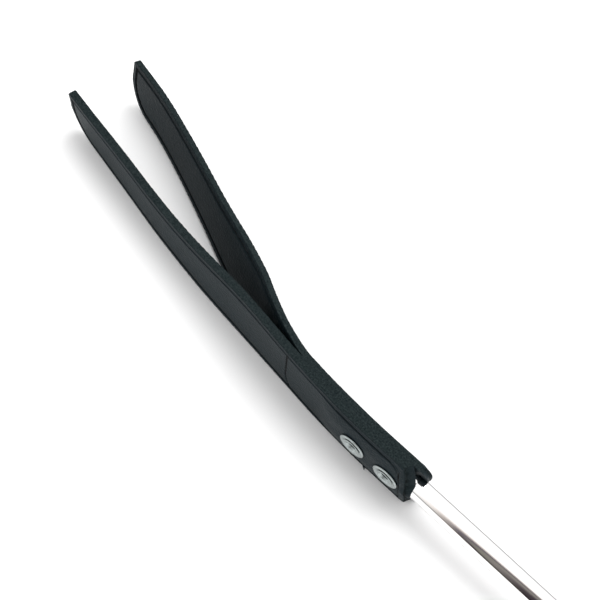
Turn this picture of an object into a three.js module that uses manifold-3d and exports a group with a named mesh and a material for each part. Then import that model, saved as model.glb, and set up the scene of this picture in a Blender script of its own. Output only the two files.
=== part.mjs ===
// A two-tongued leather slapper on a round steel rod with a padded grip.
// Two leather strips are riveted together around the rod's flattened end and spring apart in a V.
// Units are millimetres and +Z is up. The rod lies along +X, from the grip towards the leather.
// The origin is the middle of the butt cap's flat end, so the rod's axis is the X axis.
// The object rests on the long edges of the strips and on the rim of the butt cap.

import * as THREE from 'three';
import { mergeVertices } from 'three/addons/utils/BufferGeometryUtils.js';
import Module from 'manifold-3d';

// ---- Driving dimensions ----
const ROD_RADIUS = 4;
const AXIS_HEIGHT = 14;          // rod axis above the table
const TABLE_Z = -AXIS_HEIGHT;
const CLEARANCE = 0.2;           // air between pieces that touch on the real object

// Along the rod
const COLLAR_THICKNESS = 2;
const BUTT_CAP_LENGTH = 12;
const GRIP_LENGTH = 106;
const FERRULE_LENGTH = 16;
const LEATHER_START = 270;       // where the near strip's full height begins
const TANG_LENGTH = 23;          // flattened rod end, measured from LEATHER_START

// Grip
const CORE_RADIUS = 9.8;
const SLEEVE_END_RADIUS = 12.4;
const SLEEVE_BELLY_RADIUS = 13.4;
const PIN_RADIUS = 1.5;
const PIN_INSET = 18;            // cross pin, back from the core's front end
const PIN_LENGTH = 18.4;

// Rod's tang
const TANG_HALF_THICKNESS = 1.5;
const TANG_HALF_HEIGHT = 4.8;
const TANG_SQUARENESS = 0.25;    // 0 is an ellipse, higher is closer to a bar
const FLATTEN_START = -5.6;      // from LEATHER_START
const FLATTEN_END = -3.2;

// Leather strips, measured along each strip from LEATHER_START
const BASE_HEIGHT = 26.8;
const TONGUE_HEIGHT = 20.5;
const NARROWING = [55, 115];
const FLEX_STATION = 64;         // where a tongue's flex hinge stands
const FLEX_GAP = 1.6;            // slot between a strip's base and its tongue
const TONGUE_LIFT = 0.3;         // tongues stand just clear of the table
const STRIP_LENGTH = 172;
const END_BLEND = 18;            // length over which the shape of the rod end's cut fades out
const TIP_RISE_LENGTH = 12;      // the lower edge sweeps up to the tip
const TIP_RISE_HEIGHT = 13.5;
const TIP_TOP_ROUNDING = 1.6;
const EDGE_GAP = 0.12;           // half the joint line between the two strips
const CLAMPED_THICKNESS = 2.45;  // leather squeezed under the rivet heads
const HUG = 0.9;                 // share of the metal's half height that the leather follows

// Each strip's rod end is cut at foot and sweeps back by rise between the height from and the top.
// The leather is pared to overRod where it passes over the round rod.
const NEAR = {
  side: 1,
  thickness: 2.8,
  overRod: 0.9,
  start: -6.45,
  innerCut: { foot: -6.45, rise: 4.4, from: 12.5, power: 2 },
  outerCut: { foot: -5.3, rise: 4.7, from: 4, power: 2.2 },
};
const FAR = {
  side: -1,
  thickness: 2.2,
  overRod: 0.9,
  start: -7.6,
  innerCut: { foot: -7.6, rise: 2.2, from: 21, power: 2.5 },
  outerCut: { foot: -7.6, rise: 2.6, from: 20, power: 2.5 },
};

// Rivets, measured from LEATHER_START
const RIVET_STATIONS = { rivet_front: 16.7, rivet_rear: 3.1 };
const RIVET_HEAD_RADIUS = 4.75;
const RIVET_SHANK_RADIUS = 1.85;
const RIVET_BORE_RADIUS = 1.3;
const RIVET_HEAD_THICKNESS = 1.1;
const RIVET_LIP_RADIUS = 2.9;    // rolled end of the tube
const WASHER_THICKNESS = 0.5;

// ---- Materials ----
const finish = (color, roughness, metalness) => () => (
  new THREE.MeshStandardMaterial({ color, roughness, metalness }));
const polishedSteel = finish(0xe8e8ea, 0.06, 1);
const nickel = finish(0xb9c0c0, 0.28, 1);
const strapLeather = finish(0x1b1e20, 0.5, 0);
const gripLeather = finish(0x17181a, 0.6, 0);
const wood = finish(0x9a7448, 0.7, 0);

// ---- Solids ----
const wasm = await Module();
wasm.setup();

function asSolid(geometry) {
  const bare = geometry.clone();
  bare.deleteAttribute('normal');
  bare.deleteAttribute('uv');
  const merged = mergeVertices(bare, 1e-4);
  return new wasm.Manifold(new wasm.Mesh({
    numProp: 3,
    vertProperties: new Float32Array(merged.attributes.position.array),
    triVerts: new Uint32Array(merged.index.array),
  }));
}

function asGeometry(solid) {
  const mesh = solid.getMesh();
  const geometry = new THREE.BufferGeometry();
  geometry.setAttribute('position', new THREE.BufferAttribute(mesh.vertProperties, 3));
  geometry.setIndex(new THREE.BufferAttribute(mesh.triVerts, 1));
  geometry.computeVertexNormals();
  return geometry;
}

function drilled(geometry, ...cutters) {
  let solid = asSolid(geometry);
  for (const cutter of cutters) solid = solid.subtract(asSolid(cutter));
  return asGeometry(solid);
}

// Turn a closed surface the right way round if its faces point inwards.
function facingOut(geometry) {
  const position = geometry.attributes.position;
  const corners = [0, 1, 2].map(() => new THREE.Vector3());
  let volume = 0;
  for (let i = 0; i < geometry.index.count; i += 3) {
    corners.forEach((corner, k) => corner.fromBufferAttribute(position, geometry.index.getX(i + k)));
    volume += corners[0].dot(corners[1].clone().cross(corners[2]));
  }
  if (volume < 0) geometry.index.array.reverse();
  geometry.computeVertexNormals();
  return geometry;
}

// A skin over a row of rings with the same number of points, closed at both ends.
// Each ring runs up one side and down the other, so its ends are capped by rungs between the sides.
function lofted(rings) {
  const count = rings[0].length;
  const positions = rings.flat().flatMap((point) => point.toArray());
  const index = [];
  for (let ring = 0; ring + 1 < rings.length; ring += 1) {
    for (let k = 0; k < count; k += 1) {
      const a = ring * count + k;
      const b = ring * count + ((k + 1) % count);
      index.push(a, b, b + count, a, b + count, a + count);
    }
  }
  const last = (rings.length - 1) * count;
  for (let k = 0; k < count / 2 - 1; k += 1) {
    const near = k;
    const far = count - 1 - k;
    index.push(near, far, far - 1, near, far - 1, near + 1);
    index.push(last + near, last + far - 1, last + far, last + near, last + near + 1, last + far - 1);
  }
  const geometry = new THREE.BufferGeometry();
  geometry.setAttribute('position', new THREE.Float32BufferAttribute(positions, 3));
  geometry.setIndex(index);
  return facingOut(geometry);
}

// A turned piece: the profile is [radius, distance] pairs, and distance runs along +X or +Y.
function turned(profile, axis, segments = 32) {
  const geometry = new THREE.LatheGeometry(profile.map(([r, d]) => new THREE.Vector2(r, d)), segments);
  if (axis === 'x') geometry.rotateZ(-Math.PI / 2);
  return facingOut(mergeVertices(stripped(geometry), 1e-4));
}

function stripped(geometry) {
  geometry.deleteAttribute('normal');
  geometry.deleteAttribute('uv');
  return geometry;
}

// A drill for holes along Y, at a place on the rod's axis.
function drillAlongY(radius, x, length) {
  return new THREE.CylinderGeometry(radius, radius, length, 24).translate(x, 0, 0);
}

const smoothstep = (from, to, value) => THREE.MathUtils.smoothstep(value, from, to);

// ---- Rod ----
// 1 where the rod is round, 0 where it is hammered flat.
const roundness = (station) => 1 - smoothstep(FLATTEN_START, FLATTEN_END, station);

function rodRing(x, halfThickness, halfHeight, squareness) {
  const points = [];
  const segments = 32;
  for (let k = 0; k < segments; k += 1) {
    const angle = ((k + 0.5) / segments) * 2 * Math.PI;
    const power = 1 / (1 + squareness);
    const y = Math.sign(Math.sin(angle)) * Math.abs(Math.sin(angle)) ** power * halfThickness;
    const z = -Math.sign(Math.cos(angle)) * Math.abs(Math.cos(angle)) ** power * halfHeight;
    points.push(new THREE.Vector3(x, y, z));
  }
  return points;
}

function rod() {
  const rings = [];
  const start = BUTT_CAP_LENGTH / 2;
  for (const [x, radius] of [[start, ROD_RADIUS - 0.5], [start + 0.5, ROD_RADIUS]]) {
    rings.push(rodRing(x, radius, radius, 0));
  }
  const steps = 6;
  for (let k = 0; k <= steps; k += 1) {
    const station = THREE.MathUtils.lerp(FLATTEN_START, FLATTEN_END, k / steps);
    const round = roundness(station);
    const halfThickness = THREE.MathUtils.lerp(TANG_HALF_THICKNESS, ROD_RADIUS, round);
    const halfHeight = THREE.MathUtils.lerp(TANG_HALF_HEIGHT, ROD_RADIUS, round);
    rings.push(rodRing(LEATHER_START + station, halfThickness, halfHeight, TANG_SQUARENESS * (1 - round)));
  }
  const end = LEATHER_START + TANG_LENGTH;
  rings.push(rodRing(end - 2, TANG_HALF_THICKNESS, TANG_HALF_HEIGHT, TANG_SQUARENESS));
  rings.push(rodRing(end, TANG_HALF_THICKNESS - 0.6, TANG_HALF_HEIGHT - 1.2, TANG_SQUARENESS));
  const rivetHoles = Object.values(RIVET_STATIONS)
    .map((station) => drillAlongY(RIVET_SHANK_RADIUS + CLEARANCE, LEATHER_START + station, 20));
  const pinHole = drillAlongY(PIN_RADIUS + CLEARANCE, pinX, 20);
  return drilled(lofted(rings), ...rivetHoles, pinHole);
}

// ---- Leather strips ----
// Plan of each strip's inner face at the table, from 14 mm before LEATHER_START.
const PLAN_LEAD = 14;
const planCurve = (points) => new THREE.CatmullRomCurve3(
  points.map(([x, y]) => new THREE.Vector3(x, y, 0)), false, 'centripetal');
NEAR.plan = planCurve([[-PLAN_LEAD, 0], [0, 0], [16, 0], [34, -0.85], [51, -2.5], [70, -4.2],
  [92, -6.4], [116, -10], [139, -14.5], [161, -18.7], [175, -21.1]]);
FAR.plan = planCurve([[-PLAN_LEAD, 0], [0, 0], [16, 0], [34, -0.85], [51, -2.5], [64, -4.6],
  [77, -8.3], [88.5, -12.3], [110.5, -21.2], [133, -29.8], [150, -35.3], [170, -39.8]]);

// How far each strip's top leans away from the middle, in radians, at stations along it.
NEAR.lean = [[45, 0], [80, -0.055], [105, -0.055], [140, -0.02], [165, 0.01]];
FAR.lean = [[42, 0], [54, 0.05], [66, 0.15], [78, 0.25], [92, 0.3], [114, 0.265], [140, 0.215],
  [172, 0.185]];

// A smooth curve through the lean's knots, level at both ends.
function leanAt(strip, station) {
  const knots = strip.lean;
  const last = knots.length - 1;
  if (station <= knots[0][0]) return knots[0][1];
  if (station >= knots[last][0]) return knots[last][1];
  const slopeAt = (i) => (i === 0 || i === last
    ? 0 : (knots[i + 1][1] - knots[i - 1][1]) / (knots[i + 1][0] - knots[i - 1][0]));
  const k = knots.findIndex(([at]) => station <= at);
  const [from, low] = knots[k - 1];
  const [to, high] = knots[k];
  const span = to - from;
  const t = (station - from) / span;
  return low + (high - low) * t * t * (3 - 2 * t)
    + span * t * (1 - t) * ((1 - t) * slopeAt(k - 1) - t * slopeAt(k));
}

// A point of a strip: station along it, distance out from its inner plane, height above its foot.
function stripPoint(strip, station, out, height) {
  const share = (station + PLAN_LEAD) / strip.plan.getLength();
  const foot = strip.plan.getPointAt(share);
  const tangent = strip.plan.getTangentAt(share);
  const lean = leanAt(strip, station);
  const across = out * Math.cos(lean) + height * Math.sin(lean);
  const tongueLift = station > FLEX_STATION ? TONGUE_LIFT : 0;
  const footLift = Math.max(0, (strip.thickness + EDGE_GAP) * Math.sin(lean)) + tongueLift;
  const x = LEATHER_START + foot.x - tangent.y * strip.side * across;
  const y = foot.y + tangent.x * strip.side * across;
  const z = TABLE_Z + height * Math.cos(lean) - out * Math.sin(lean) + footLift;
  return new THREE.Vector3(x, y, z);
}

// How far a rounded corner has cut in, where distance runs from the corner's start to its end.
function roundedCut(distance, length, depth) {
  const share = THREE.MathUtils.clamp(distance / length, 0, 1);
  return depth * (1 - Math.sqrt(1 - share * share));
}

function heightRange(station) {
  const full = THREE.MathUtils.lerp(BASE_HEIGHT, TONGUE_HEIGHT, smoothstep(...NARROWING, station));
  const tipRise = roundedCut(station - (STRIP_LENGTH - TIP_RISE_LENGTH), TIP_RISE_LENGTH, TIP_RISE_HEIGHT);
  const tipTop = roundedCut(station - (STRIP_LENGTH - TIP_TOP_ROUNDING), TIP_TOP_ROUNDING, TIP_TOP_ROUNDING);
  return [tipRise, full - tipTop];
}

// Moves a station near the rod end so that the strip finishes on its cut.
function trimmed(strip, cut, station, height) {
  const share = THREE.MathUtils.clamp((height - cut.from) / (BASE_HEIGHT - cut.from), 0, 1);
  const end = cut.foot + cut.rise * share ** cut.power;
  const fade = THREE.MathUtils.clamp(1 - (station - strip.start) / END_BLEND, 0, 1);
  return station + (end - strip.start) * fade * fade;
}

// Where a strip's inner and outer faces stand, out from the middle plane, at a height above the axis.
// The inner face hugs the metal, then closes towards the edge. The outer face stays flat over the tang.
function facesAt(strip, station, level) {
  const edge = level > 0 ? BASE_HEIGHT - AXIS_HEIGHT : AXIS_HEIGHT;
  const reach = Math.abs(level);
  const round = roundness(station);
  const slack = CLEARANCE + 0.1 + round * (1 - round);
  const present = 1 - smoothstep(TANG_LENGTH + 1, TANG_LENGTH + 12, station);
  const halfThickness = THREE.MathUtils.lerp(TANG_HALF_THICKNESS, ROD_RADIUS, round) + slack;
  const halfHeight = THREE.MathUtils.lerp(TANG_HALF_HEIGHT, ROD_RADIUS, round) + slack;
  const bowAt = (height) => halfThickness * Math.sqrt(1 - (height / halfHeight) ** 2);
  const closing = (edge - reach) / (edge - HUG * halfHeight);
  const inner = present * (reach < HUG * halfHeight ? bowAt(reach) : bowAt(HUG * halfHeight) * closing);
  const flatShare = Math.min(1, (edge - reach) / (edge - TANG_HALF_HEIGHT - slack));
  const overTang = present * (TANG_HALF_THICKNESS + slack) * flatShare;
  const clamped = Math.min(strip.thickness, CLAMPED_THICKNESS);
  const thickness = THREE.MathUtils.lerp(strip.thickness, clamped, present * flatShare);
  const domeRadius = ROD_RADIUS + slack + strip.overRod;
  const dome = Math.sqrt(Math.max(0, domeRadius * domeRadius - reach * reach));
  const flat = overTang + thickness;
  const outer = THREE.MathUtils.lerp(flat, Math.max(dome, flat), round);
  return [EDGE_GAP + inner, EDGE_GAP + outer];
}

const BASE_FACE_POINTS = 17;
const TONGUE_FACE_POINTS = 5;

function stripRing(strip, station, facePoints) {
  const [low, high] = heightRange(station);
  const outer = [];
  const inner = [];
  for (let k = 0; k < facePoints; k += 1) {
    const height = THREE.MathUtils.lerp(low, high, k / (facePoints - 1));
    const [innerFace, outerFace] = facesAt(strip, station, height - AXIS_HEIGHT);
    outer.push(stripPoint(strip, trimmed(strip, strip.outerCut, station, height), outerFace, height));
    inner.push(stripPoint(strip, trimmed(strip, strip.innerCut, station, height), innerFace, height));
  }
  return [...outer, ...inner.reverse()];
}

// Stations crowd together where the outline or the section changes quickly.
function stationsBetween(from, to) {
  const marks = [from];
  const stepAt = (station) => {
    if (station < 2) return 1;
    if (station > STRIP_LENGTH - 2) return 0.5;
    if (station > STRIP_LENGTH - TIP_RISE_LENGTH - 1) return 1.2;
    return 4;
  };
  while (to - marks[marks.length - 1] > stepAt(marks[marks.length - 1]) * 1.4) {
    marks.push(marks[marks.length - 1] + stepAt(marks[marks.length - 1]));
  }
  return [...marks, to];
}

function stripSolid(strip, from, to, facePoints) {
  return lofted(stationsBetween(from, to).map((station) => stripRing(strip, station, facePoints)));
}

function stripBase(strip) {
  const holes = Object.values(RIVET_STATIONS)
    .map((station) => drillAlongY(RIVET_SHANK_RADIUS + CLEARANCE, LEATHER_START + station, 20));
  return drilled(stripSolid(strip, strip.start, FLEX_STATION - FLEX_GAP / 2, BASE_FACE_POINTS), ...holes);
}

const tongue = (strip) => stripSolid(strip, FLEX_STATION + FLEX_GAP / 2, STRIP_LENGTH, TONGUE_FACE_POINTS);

// ---- Rivets ----
const plateFace = EDGE_GAP + TANG_HALF_THICKNESS + CLEARANCE + 0.1;
const nearFace = plateFace + CLAMPED_THICKNESS + CLEARANCE;
const farFace = -(plateFace + FAR.thickness + CLEARANCE);

function rivetWasher() {
  const hole = RIVET_SHANK_RADIUS + CLEARANCE;
  const front = nearFace + WASHER_THICKNESS;
  return turned([[hole, nearFace], [RIVET_HEAD_RADIUS - 0.15, nearFace], [RIVET_HEAD_RADIUS, nearFace + 0.2],
    [RIVET_HEAD_RADIUS - 0.2, front], [hole, front - 0.15], [hole, nearFace]], 'y', 24);
}

// The head is on the far side, and the tube's end is rolled out over the washer on the near side.
function rivetTube() {
  const lip = nearFace + WASHER_THICKNESS + 0.1;
  const headBack = farFace - RIVET_HEAD_THICKNESS;
  return turned([[0, headBack], [3.2, headBack + 0.12], [RIVET_HEAD_RADIUS, farFace - 0.3],
    [RIVET_HEAD_RADIUS - 0.15, farFace], [RIVET_SHANK_RADIUS, farFace], [RIVET_SHANK_RADIUS, lip],
    [RIVET_LIP_RADIUS - 0.1, lip], [RIVET_LIP_RADIUS, lip + 0.25], [2.3, lip + 0.45], [1.6, lip + 0.25],
    [RIVET_BORE_RADIUS, lip - 0.5], [RIVET_BORE_RADIUS, farFace + 1], [0, farFace + 0.6]], 'y', 24);
}

// ---- Grip ----
const boreRadius = ROD_RADIUS + CLEARANCE + 0.1;
const collarX = BUTT_CAP_LENGTH + CLEARANCE;
const coreX = collarX + COLLAR_THICKNESS + CLEARANCE;
const ferruleX = coreX + GRIP_LENGTH + CLEARANCE;
const pinX = coreX + GRIP_LENGTH - PIN_INSET;

function buttCap() {
  const boreEnd = BUTT_CAP_LENGTH / 2 - 0.3;
  return turned([[0, 0], [9.5, 0], [11.6, 0.7], [13.2, 2.2], [AXIS_HEIGHT, 4.6], [AXIS_HEIGHT, 9.4],
    [13.4, BUTT_CAP_LENGTH], [boreRadius, BUTT_CAP_LENGTH], [boreRadius, boreEnd], [0, boreEnd]], 'x', 40);
}

function rearCollar() {
  const end = collarX + COLLAR_THICKNESS;
  return turned([[boreRadius, collarX], [13, collarX], [13.5, collarX + COLLAR_THICKNESS / 2], [13, end],
    [boreRadius, end], [boreRadius, collarX]], 'x');
}

function gripCore() {
  const end = coreX + GRIP_LENGTH;
  const tube = turned([[boreRadius, coreX], [CORE_RADIUS, coreX], [CORE_RADIUS, end], [boreRadius, end],
    [boreRadius, coreX]], 'x');
  return drilled(tube, drillAlongY(PIN_RADIUS + CLEARANCE, pinX, 40));
}

function gripSleeve() {
  const bore = CORE_RADIUS + CLEARANCE;
  const outline = [];
  const steps = 8;
  for (let k = 0; k <= steps; k += 1) {
    const share = k / steps;
    const belly = Math.sin(Math.PI * share) * (SLEEVE_BELLY_RADIUS - SLEEVE_END_RADIUS);
    outline.push([SLEEVE_END_RADIUS + belly, coreX + 1 + share * (GRIP_LENGTH - 2)]);
  }
  return turned([[bore, coreX + 0.2], [SLEEVE_END_RADIUS - 1, coreX + 0.2], ...outline,
    [SLEEVE_END_RADIUS - 1, coreX + GRIP_LENGTH - 0.2], [bore, coreX + GRIP_LENGTH - 0.2],
    [bore, coreX + 0.2]], 'x');
}

function frontFerrule() {
  const end = ferruleX + FERRULE_LENGTH;
  return turned([[boreRadius, ferruleX], [12.2, ferruleX], [12.8, ferruleX + 0.6], [12.8, ferruleX + 3.2],
    [12.2, ferruleX + 3.8], [11.2, ferruleX + 4], [9.4, ferruleX + 7.5], [7.4, ferruleX + 10.5],
    [6.2, end - 2.6], [6.2, end - 0.5], [5.8, end], [boreRadius, end], [boreRadius, ferruleX]], 'x');
}

function gripPin() {
  return new THREE.CylinderGeometry(PIN_RADIUS, PIN_RADIUS, PIN_LENGTH, 24).translate(pinX, 0, 0);
}

// ---- Assembly ----
const slapper = new THREE.Group();

function addPiece(name, geometry, material, position = [0, 0, 0]) {
  const mesh = new THREE.Mesh(geometry, material());
  mesh.name = name;
  mesh.position.set(...position);
  slapper.add(mesh);
}

addPiece('rod', rod(), polishedSteel);
addPiece('near_strip_base', stripBase(NEAR), strapLeather);
addPiece('far_strip_base', stripBase(FAR), strapLeather);
addPiece('near_tongue', tongue(NEAR), strapLeather);
addPiece('far_tongue', tongue(FAR), strapLeather);
for (const [name, station] of Object.entries(RIVET_STATIONS)) {
  addPiece(`${name}_tube`, rivetTube(), nickel, [LEATHER_START + station, 0, 0]);
  addPiece(`${name}_washer`, rivetWasher(), nickel, [LEATHER_START + station, 0, 0]);
}
addPiece('butt_cap', buttCap(), polishedSteel);
addPiece('rear_collar', rearCollar(), polishedSteel);
addPiece('grip_core', gripCore(), wood);
addPiece('grip_sleeve', gripSleeve(), gripLeather);
addPiece('front_ferrule', frontFerrule(), polishedSteel);
addPiece('grip_pin', gripPin(), nickel);

export default slapper;
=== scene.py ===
# %% [markdown]
# # A two-tongued leather slapper, finished in Blender
# The CAD model gives every size and place. This notebook loads it as a fixed frame and dresses it:
# smooth leather strips with creased borders and raw cut edges, hollow nickel rivets, a mirror-polished
# rod and a padded grip. Lengths are written in millimetres and turned into metres when a mesh is made.

# %% Load the CAD frame
import math

import bpy
import numpy as np
from mathutils import Matrix, Vector, noise


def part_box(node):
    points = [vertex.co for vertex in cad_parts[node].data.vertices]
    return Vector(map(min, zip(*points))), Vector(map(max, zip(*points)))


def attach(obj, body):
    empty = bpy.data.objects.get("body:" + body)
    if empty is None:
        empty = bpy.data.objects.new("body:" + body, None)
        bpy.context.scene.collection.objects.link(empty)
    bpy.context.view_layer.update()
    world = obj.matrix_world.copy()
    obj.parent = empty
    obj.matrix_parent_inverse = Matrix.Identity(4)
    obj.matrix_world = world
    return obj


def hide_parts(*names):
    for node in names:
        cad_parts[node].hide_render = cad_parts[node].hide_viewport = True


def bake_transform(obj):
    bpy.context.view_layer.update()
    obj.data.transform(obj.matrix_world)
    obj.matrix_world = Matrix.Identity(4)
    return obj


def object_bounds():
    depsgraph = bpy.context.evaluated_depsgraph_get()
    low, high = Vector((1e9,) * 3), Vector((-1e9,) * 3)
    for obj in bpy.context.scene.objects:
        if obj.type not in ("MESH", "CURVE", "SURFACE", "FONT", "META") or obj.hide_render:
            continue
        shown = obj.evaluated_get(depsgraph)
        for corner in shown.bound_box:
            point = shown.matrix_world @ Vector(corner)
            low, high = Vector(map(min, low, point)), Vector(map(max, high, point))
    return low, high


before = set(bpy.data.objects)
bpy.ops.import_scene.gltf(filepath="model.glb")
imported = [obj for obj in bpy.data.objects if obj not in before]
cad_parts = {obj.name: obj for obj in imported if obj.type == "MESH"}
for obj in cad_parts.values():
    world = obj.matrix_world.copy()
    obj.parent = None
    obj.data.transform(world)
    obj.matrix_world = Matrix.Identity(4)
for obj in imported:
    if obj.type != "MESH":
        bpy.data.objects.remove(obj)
cad_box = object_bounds()
MM = 0.001
TABLE = cad_box[0].z / MM                                   # the table, below the rod's axis
NEAR_OVERHANG = 6.45                                        # from the near strip's end to its start mark
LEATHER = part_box("near_strip_base")[0].x / MM + NEAR_OVERHANG
print("leather starts at", round(LEATHER, 2), "mm, table at", round(TABLE, 2), "mm")

# %% [markdown]
# ## Camera
# The view looks down steeply on the leather from the rod's side, close enough for strong perspective.
# Pan turns the camera about the vertical, tilt leans it back from looking straight down, and roll turns
# it about its own line of sight.

# %% Place the camera
FOCAL_LENGTH = 62.58
SENSOR_WIDTH = 36.0
CAMERA_PLACE = Vector((LEATHER - 23.83, 93.30, TABLE + 321.26)) * MM
PAN, TILT, ROLL = -2.49224, 0.43216, 0.12506

camera_data = bpy.data.cameras.new("camera")
camera_data.lens = FOCAL_LENGTH
camera_data.sensor_width = SENSOR_WIDTH
camera_data.clip_start = 0.01
camera = bpy.data.objects.new("camera", camera_data)
turn = Matrix.Rotation(PAN, 4, "Z") @ Matrix.Rotation(TILT, 4, "X") @ Matrix.Rotation(ROLL, 4, "Z")
camera.matrix_world = Matrix.Translation(CAMERA_PLACE) @ turn
bpy.context.scene.collection.objects.link(camera)
bpy.context.scene.camera = camera
print("camera is", round(CAMERA_PLACE.z / MM - TABLE), "mm above the table")

# %% [markdown]
# ## Small helpers for meshes
# Every piece is built from rows of points. A closed skin over rings of points makes the strips and the
# turned parts, and a shared helper links the object and smooths it.

# %% Mesh helpers
def link_mesh(name, points, faces, smooth=True):
    """A mesh object at the origin, from points in millimetres."""
    mesh = bpy.data.meshes.new(name)
    mesh.from_pydata([tuple(p) for p in np.asarray(points) * MM], [], faces)
    mesh.validate()
    if smooth:
        mesh.shade_smooth()
    piece = bpy.data.objects.new(name, mesh)
    bpy.context.scene.collection.objects.link(piece)
    return piece


def ring_faces(rings, count):
    """Quads over a stack of rings that each have the same count of points."""
    faces = []
    for ring in range(rings - 1):
        for k in range(count):
            a = ring * count + k
            b = ring * count + (k + 1) % count
            faces.append((a, b, b + count, a + count))
    return faces


def turned_mesh(name, profile, along="X", centre=(0, 0, 0), segments=96):
    """A turned piece from (radius, distance) pairs; it starts and ends on the axis or closes on itself."""
    closed = profile[0] == profile[-1]
    rows = profile[:-1] if closed else profile
    points, starts = [], []
    for radius, distance in rows:
        starts.append(len(points))
        turns = 1 if radius == 0 else segments
        for k in range(turns):
            angle = 2 * math.pi * k / segments
            side, up = radius * math.cos(angle), radius * math.sin(angle)
            points.append((distance, side, up) if along == "X" else (side, distance, up))
    faces = []
    pairs = list(zip(range(len(rows)), range(1, len(rows))))
    if closed:
        pairs.append((len(rows) - 1, 0))
    for i, j in pairs:
        for k in range(segments):
            n = (k + 1) % segments
            low = (starts[i], starts[i]) if rows[i][0] == 0 else (starts[i] + k, starts[i] + n)
            high = (starts[j], starts[j]) if rows[j][0] == 0 else (starts[j] + k, starts[j] + n)
            face = [low[0], low[1], high[1], high[0]]
            faces.append(tuple(dict.fromkeys(face)))
    piece = link_mesh(name, np.array(points) + np.array(centre), [f for f in faces if len(f) > 2])
    face_outwards(piece)
    return piece


def face_outwards(piece):
    """Turns a closed mesh the right way round if its enclosed volume comes out negative."""
    mesh = piece.data
    mesh.calc_loop_triangles()
    volume = 0.0
    for triangle in mesh.loop_triangles:
        a, b, c = (mesh.vertices[i].co for i in triangle.vertices)
        volume += a.dot(b.cross(c))
    if volume < 0:
        mesh.flip_normals()
    print(piece.name, "has", len(mesh.loop_triangles), "triangles")


# %% [markdown]
# ## Shader groups
# Leather shows two surfaces: a dyed, lightly polished grain face and a raw cut edge with short fibres.
# Both need fine noise, so the grain and the fibre are groups that any material can call with its own
# scale and strength.

# %% Node helpers
def new_group(name, inputs, outputs):
    group = bpy.data.node_groups.new(name, "ShaderNodeTree")
    for label, kind, value in inputs:
        socket = group.interface.new_socket(label, in_out="INPUT", socket_type=kind)
        if value is not None:
            socket.default_value = value
    for label, kind in outputs:
        group.interface.new_socket(label, in_out="OUTPUT", socket_type=kind)
    return group, group.nodes.new("NodeGroupInput"), group.nodes.new("NodeGroupOutput")


def add_node(tree, kind, links=None, **settings):
    """A node with its settings, and links from sockets or plain values for its inputs."""
    node = tree.nodes.new(kind)
    for key, value in settings.items():
        setattr(node, key, value)
    for key, value in (links or {}).items():
        if isinstance(value, bpy.types.NodeSocket):
            tree.links.new(value, node.inputs[key])
        else:
            node.inputs[key].default_value = value
    return node


def calculate(tree, operation, first, second):
    """The result of one arithmetic node."""
    return add_node(tree, "ShaderNodeMath", {0: first, 1: second}, operation=operation).outputs[0]


def noise_value(tree, **inputs):
    """The value of a noise texture; the inputs carry the node's own names."""
    return add_node(tree, "ShaderNodeTexNoise", inputs).outputs["Fac"]


def new_material(name, roughness=None, specular=None):
    """A material, its node tree and its Principled shader, with what is the same all over it."""
    material = bpy.data.materials.new(name)
    material.use_nodes = True
    tree = material.node_tree
    shader = tree.nodes["Principled BSDF"]
    for label, value in (("Roughness", roughness), ("Specular IOR Level", specular)):
        if value is not None:
            shader.inputs[label].default_value = value
    return material, tree, shader


def object_place(tree):
    return tree.nodes.new("ShaderNodeTexCoord").outputs["Object"]


def placed_group(tree, group, values=None):
    """A shader group that reads the piece's own coordinates."""
    inputs = {"Vector": object_place(tree), **(values or {})}
    return add_node(tree, "ShaderNodeGroup", inputs, node_tree=group)


def mix_colours(tree, share, first, second):
    """Goes from the first colour to the second; either may be a socket or plain red, green and blue."""
    first, second = (c if isinstance(c, bpy.types.NodeSocket) else (*c, 1) for c in (first, second))
    mix = add_node(tree, "ShaderNodeMix", {"Factor": share, 6: first, 7: second}, data_type="RGBA")
    return mix.outputs[2]


def add_bump(tree, shader, height, strength, distance):
    bump = add_node(tree, "ShaderNodeBump", {"Height": height, "Strength": strength, "Distance": distance})
    tree.links.new(bump.outputs["Normal"], shader.inputs["Normal"])


# %% Grain group: fine pores and soft creases of a dyed leather face
grain, grain_in, grain_out = new_group(
    "leather grain",
    [("Vector", "NodeSocketVector", None), ("Pore Size", "NodeSocketFloat", 0.0006),
     ("Depth", "NodeSocketFloat", 1.0)],
    [("Height", "NodeSocketFloat"), ("Cloud", "NodeSocketFloat")])
spot, pore_size, depth = (grain_in.outputs[label] for label in ("Vector", "Pore Size", "Depth"))
pores = add_node(grain, "ShaderNodeTexVoronoi",
                 {"Vector": spot, "Scale": calculate(grain, "DIVIDE", 1.0, pore_size)}, feature="SMOOTH_F1")
wrinkles = noise_value(grain, Vector=spot, Scale=420.0, Detail=6.0, Roughness=0.65)
cloud = noise_value(grain, Vector=spot, Scale=60.0, Detail=4.0, Roughness=0.55)
relief = calculate(grain, "MULTIPLY", calculate(grain, "ADD", pores.outputs["Distance"], wrinkles), depth)
grain.links.new(relief, grain_out.inputs["Height"])
grain.links.new(cloud, grain_out.inputs["Cloud"])
print("grain group has", len(grain.nodes), "nodes")

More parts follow.
